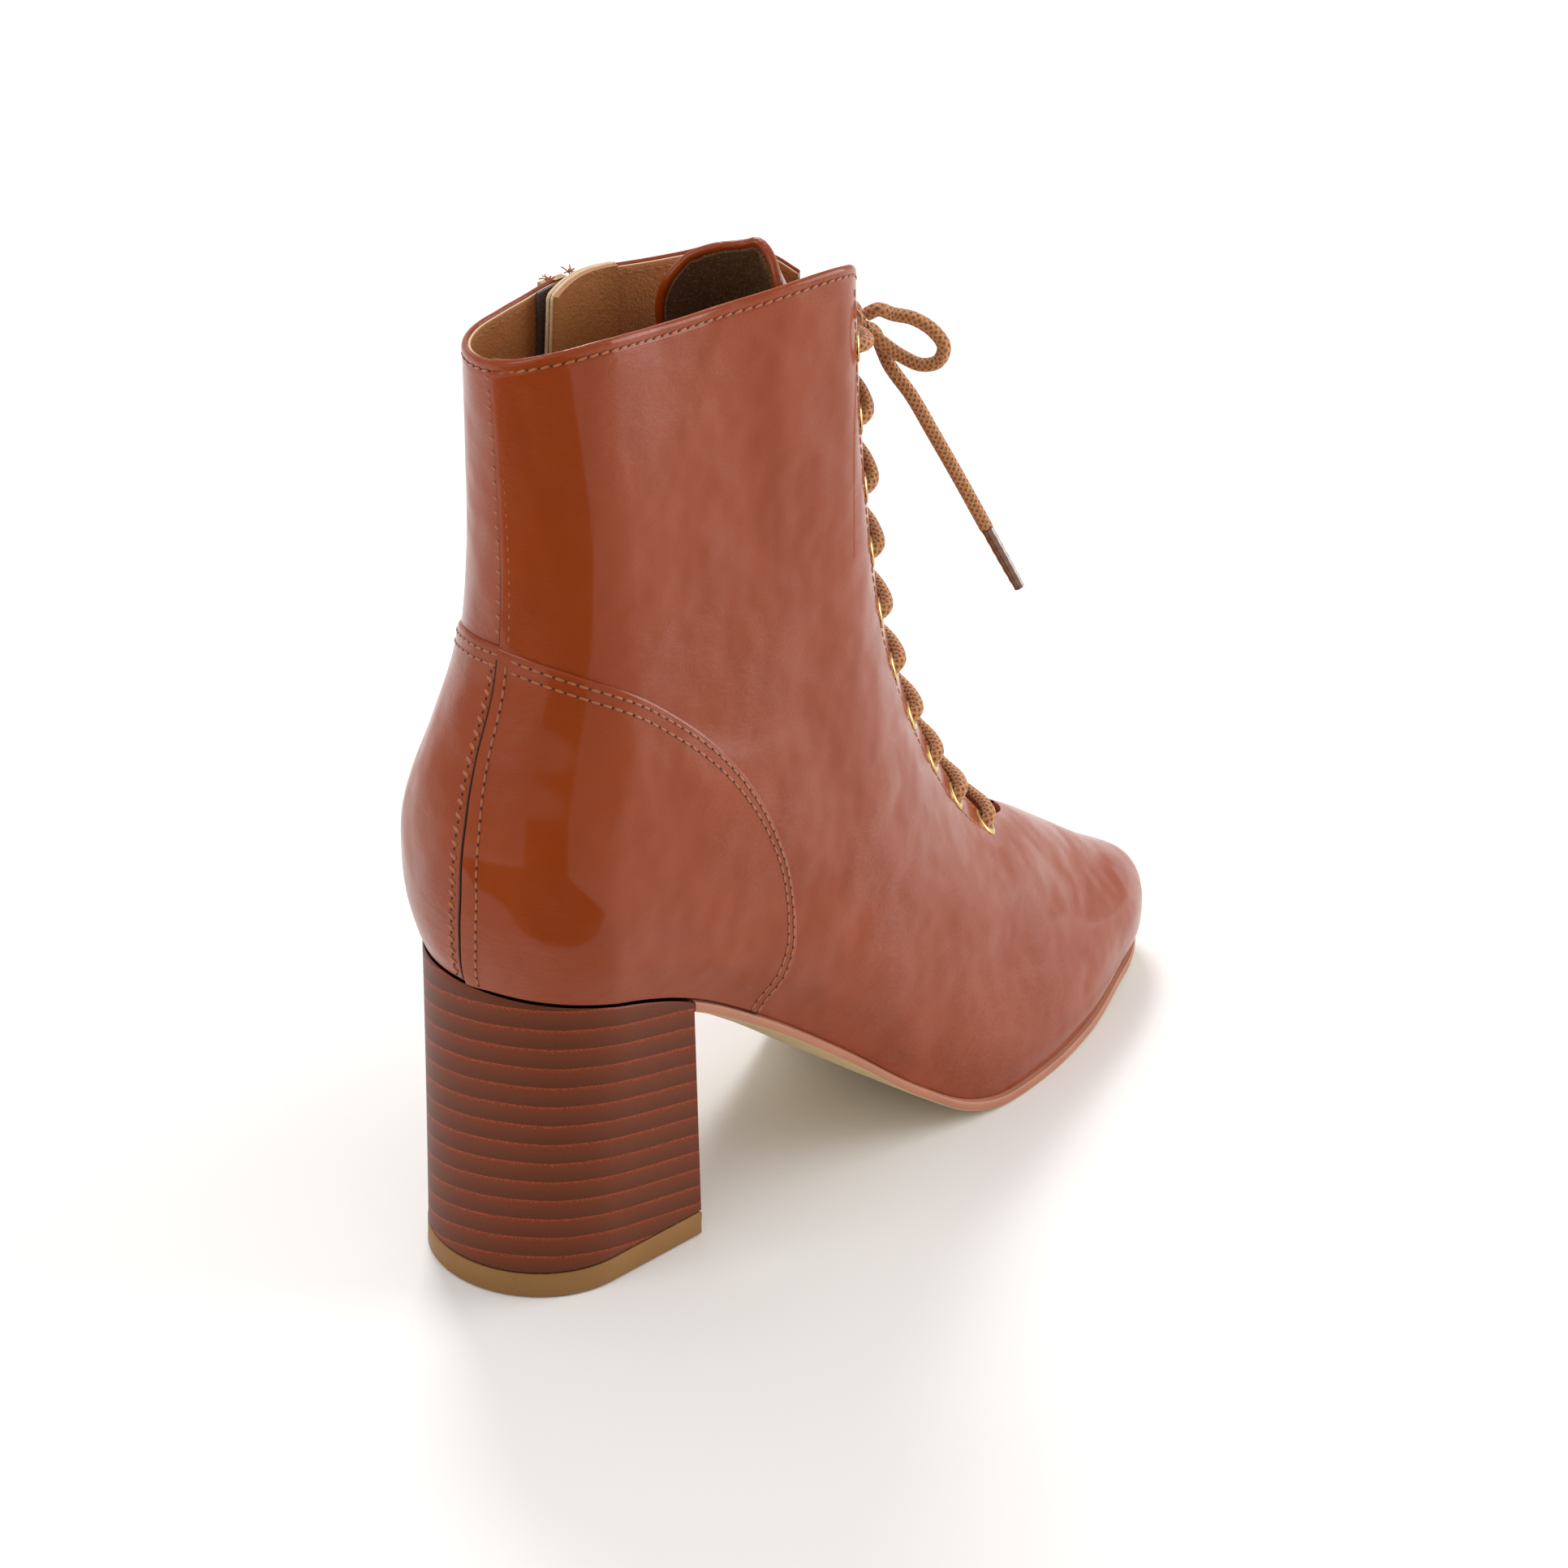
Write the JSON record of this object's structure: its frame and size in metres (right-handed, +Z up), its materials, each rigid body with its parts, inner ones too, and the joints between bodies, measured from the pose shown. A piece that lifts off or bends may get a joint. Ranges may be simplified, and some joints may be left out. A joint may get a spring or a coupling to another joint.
{
  "type": "lace up ankle boot",
  "caption": "Right lace up ankle boot in glossy leather with a block heel, a pointed oval toe, a side zip, a lined tongue and a braided lace tied in a bow.",
  "frame": {"origin": "centre of the heel's tread, on the floor", "axes": "+X towards the toe, +Y towards the inner (medial) side, +Z up"},
  "size_m": [0.2527, 0.0767, 0.2426],
  "materials": {
    "upper_leather": "glossy coated",
    "lining_leather": "matt",
    "heel_wrap": "satin, layered lines",
    "heel_tread": "matt",
    "sole_leather": "satin",
    "zip_textile": "woven",
    "zip_metal": "antique",
    "eyelet_brass": "polished",
    "lace_braid": "braided",
    "aglet_film": "clear brown film"
  },
  "bodies": {
    "boot": {"upper": "upper_leather", "counter_outer": "upper_leather", "counter_inner": "upper_leather", "heel_block": "heel_wrap", "heel_top_piece": "heel_tread", "outsole": "sole_leather", "insole": "lining_leather", "tongue": "upper_leather", "zip_tape": "zip_textile", "zip_chain": "zip_metal", "zip_guard": "lining_leather", "zip_slider": "zip_metal", "eyelet_outer_1": "eyelet_brass", "eyelet_inner_1": "eyelet_brass", "eyelet_outer_2": "eyelet_brass", "eyelet_inner_2": "eyelet_brass", "eyelet_outer_3": "eyelet_brass", "eyelet_inner_3": "eyelet_brass", "eyelet_outer_4": "eyelet_brass", "eyelet_inner_4": "eyelet_brass", "eyelet_outer_5": "eyelet_brass", "eyelet_inner_5": "eyelet_brass", "eyelet_outer_6": "eyelet_brass", "eyelet_inner_6": "eyelet_brass", "eyelet_outer_7": "eyelet_brass", "eyelet_inner_7": "eyelet_brass", "eyelet_outer_8": "eyelet_brass", "eyelet_inner_8": "eyelet_brass", "eyelet_outer_9": "eyelet_brass", "eyelet_inner_9": "eyelet_brass", "eyelet_outer_10": "eyelet_brass", "eyelet_inner_10": "eyelet_brass", "lace_cross_1": "lace_braid", "lace_cross_2": "lace_braid", "lace_cross_3": "lace_braid", "lace_cross_4": "lace_braid", "lace_cross_5": "lace_braid", "lace_cross_6": "lace_braid", "lace_cross_7": "lace_braid", "lace_cross_8": "lace_braid", "lace_cross_9": "lace_braid", "lace_top_bar": "lace_braid", "lace_knot": "lace_braid", "lace_loop_outer": "lace_braid", "lace_end_outer": "lace_braid", "lace_tip_outer": "aglet_film", "lace_loop_inner": "lace_braid", "lace_end_inner": "lace_braid", "lace_tip_inner": "aglet_film"},
    "pull_tab": {"zip_pull_tab": "zip_metal"}
  },
  "joints": [
    {"name": "pull_tab_hinge", "type": "hinge", "parent": "boot", "child": "pull_tab", "pos_m": [0.02801, 0.03027, 0.22691], "axis": [0.9972, 0.0742, 0], "range_deg": [0, 150]}
  ]
}
